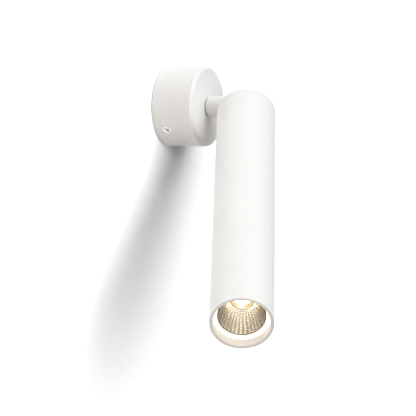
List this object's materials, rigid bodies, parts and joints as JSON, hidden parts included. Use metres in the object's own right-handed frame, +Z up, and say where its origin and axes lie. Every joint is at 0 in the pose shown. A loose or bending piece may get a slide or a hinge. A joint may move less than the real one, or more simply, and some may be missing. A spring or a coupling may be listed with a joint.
{
  "type": "wall spotlight",
  "caption": "Surface-mounted wall spotlight: a round canopy, a swivelling and tilting stem, and a long round tube with a recessed faceted reflector.",
  "frame": {"origin": "centre of the canopy's back face, on the wall, midway between the two wall screws' slots", "axes": "+Y into the wall, so the lamp stands out along -Y; +Z up the wall; +X to the right of someone facing the wall"},
  "size_m": [0.07, 0.1937, 0.321],
  "materials": {
    "white_paint": "fine satin white powder coat on aluminium",
    "ring_plastic": "white moulded polycarbonate, satin",
    "holder_plastic": "white heat-resistant moulded plastic",
    "reflector_metal": "vacuum-metallised facets, mirror bright",
    "phosphor": "yellow silicone over the light-emitting chips, lit warm white",
    "screw_steel": "nickel-plated steel",
    "zinc_steel": "zinc-plated pressed and turned steel",
    "brass": "plain brass",
    "nylon": "black glass-filled nylon, low friction",
    "rubber": "soft black rubber",
    "bare_aluminium": "bare extruded and machined aluminium",
    "pad_silicone": "grey heat-conducting silicone",
    "terminal_plastic": "off-white moulded polyamide",
    "case_plastic": "white moulded polycarbonate",
    "circuit_board": "green solder mask on glass-fibre board",
    "ferrite": "sintered ferrite and taped winding",
    "can_sleeve": "dark shrink sleeve on an aluminium can",
    "lead_sleeve": "silicone-insulated copper wire"
  },
  "bodies": {
    "root": {"wall_bracket": "zinc_steel", "bracket_nuts": "zinc_steel", "cable_grommet": "rubber", "terminal_block": "terminal_plastic", "terminal_inserts": "brass", "terminal_screws": "screw_steel", "terminal_fixing": "screw_steel", "earth_tag": "brass", "earth_screw": "screw_steel", "canopy_housing": "white_paint", "canopy_screws": "screw_steel", "stem_bush": "nylon", "thrust_washer": "nylon", "stop_pin": "zinc_steel"},
    "arm": {"swivel_stem": "white_paint", "stop_ring": "zinc_steel", "disc_spring": "zinc_steel", "lock_nut": "zinc_steel"},
    "head": {"top_cap": "white_paint", "pivot_screws": "screw_steel", "tilt_washers": "nylon", "wire_seal": "rubber", "cap_screws": "screw_steel", "tube_housing": "white_paint", "front_ring": "ring_plastic", "reflector": "reflector_metal", "led_holder": "holder_plastic", "holder_screws": "screw_steel", "thermal_pad": "pad_silicone", "led_board": "bare_aluminium", "led_emitter": "phosphor", "heat_sink": "bare_aluminium", "sink_screws": "screw_steel", "driver_strip": "zinc_steel", "strip_screws": "screw_steel", "driver_screws": "screw_steel", "driver_case": "case_plastic", "driver_lid": "case_plastic", "driver_board": "circuit_board", "driver_terminals": "terminal_plastic", "driver_transformer": "ferrite", "driver_capacitors": "can_sleeve", "led_leads": "lead_sleeve"}
  },
  "joints": [
    {"name": "swivel", "type": "hinge", "parent": "root", "child": "arm", "pos_m": [0, 0, 0], "axis": [0, -1, 0], "range_deg": [-165, 165]},
    {"name": "tilt", "type": "hinge", "parent": "arm", "child": "head", "pos_m": [0, -0.0745, 0], "axis": [1, 0, 0], "range_deg": [-161, 19]}
  ]
}
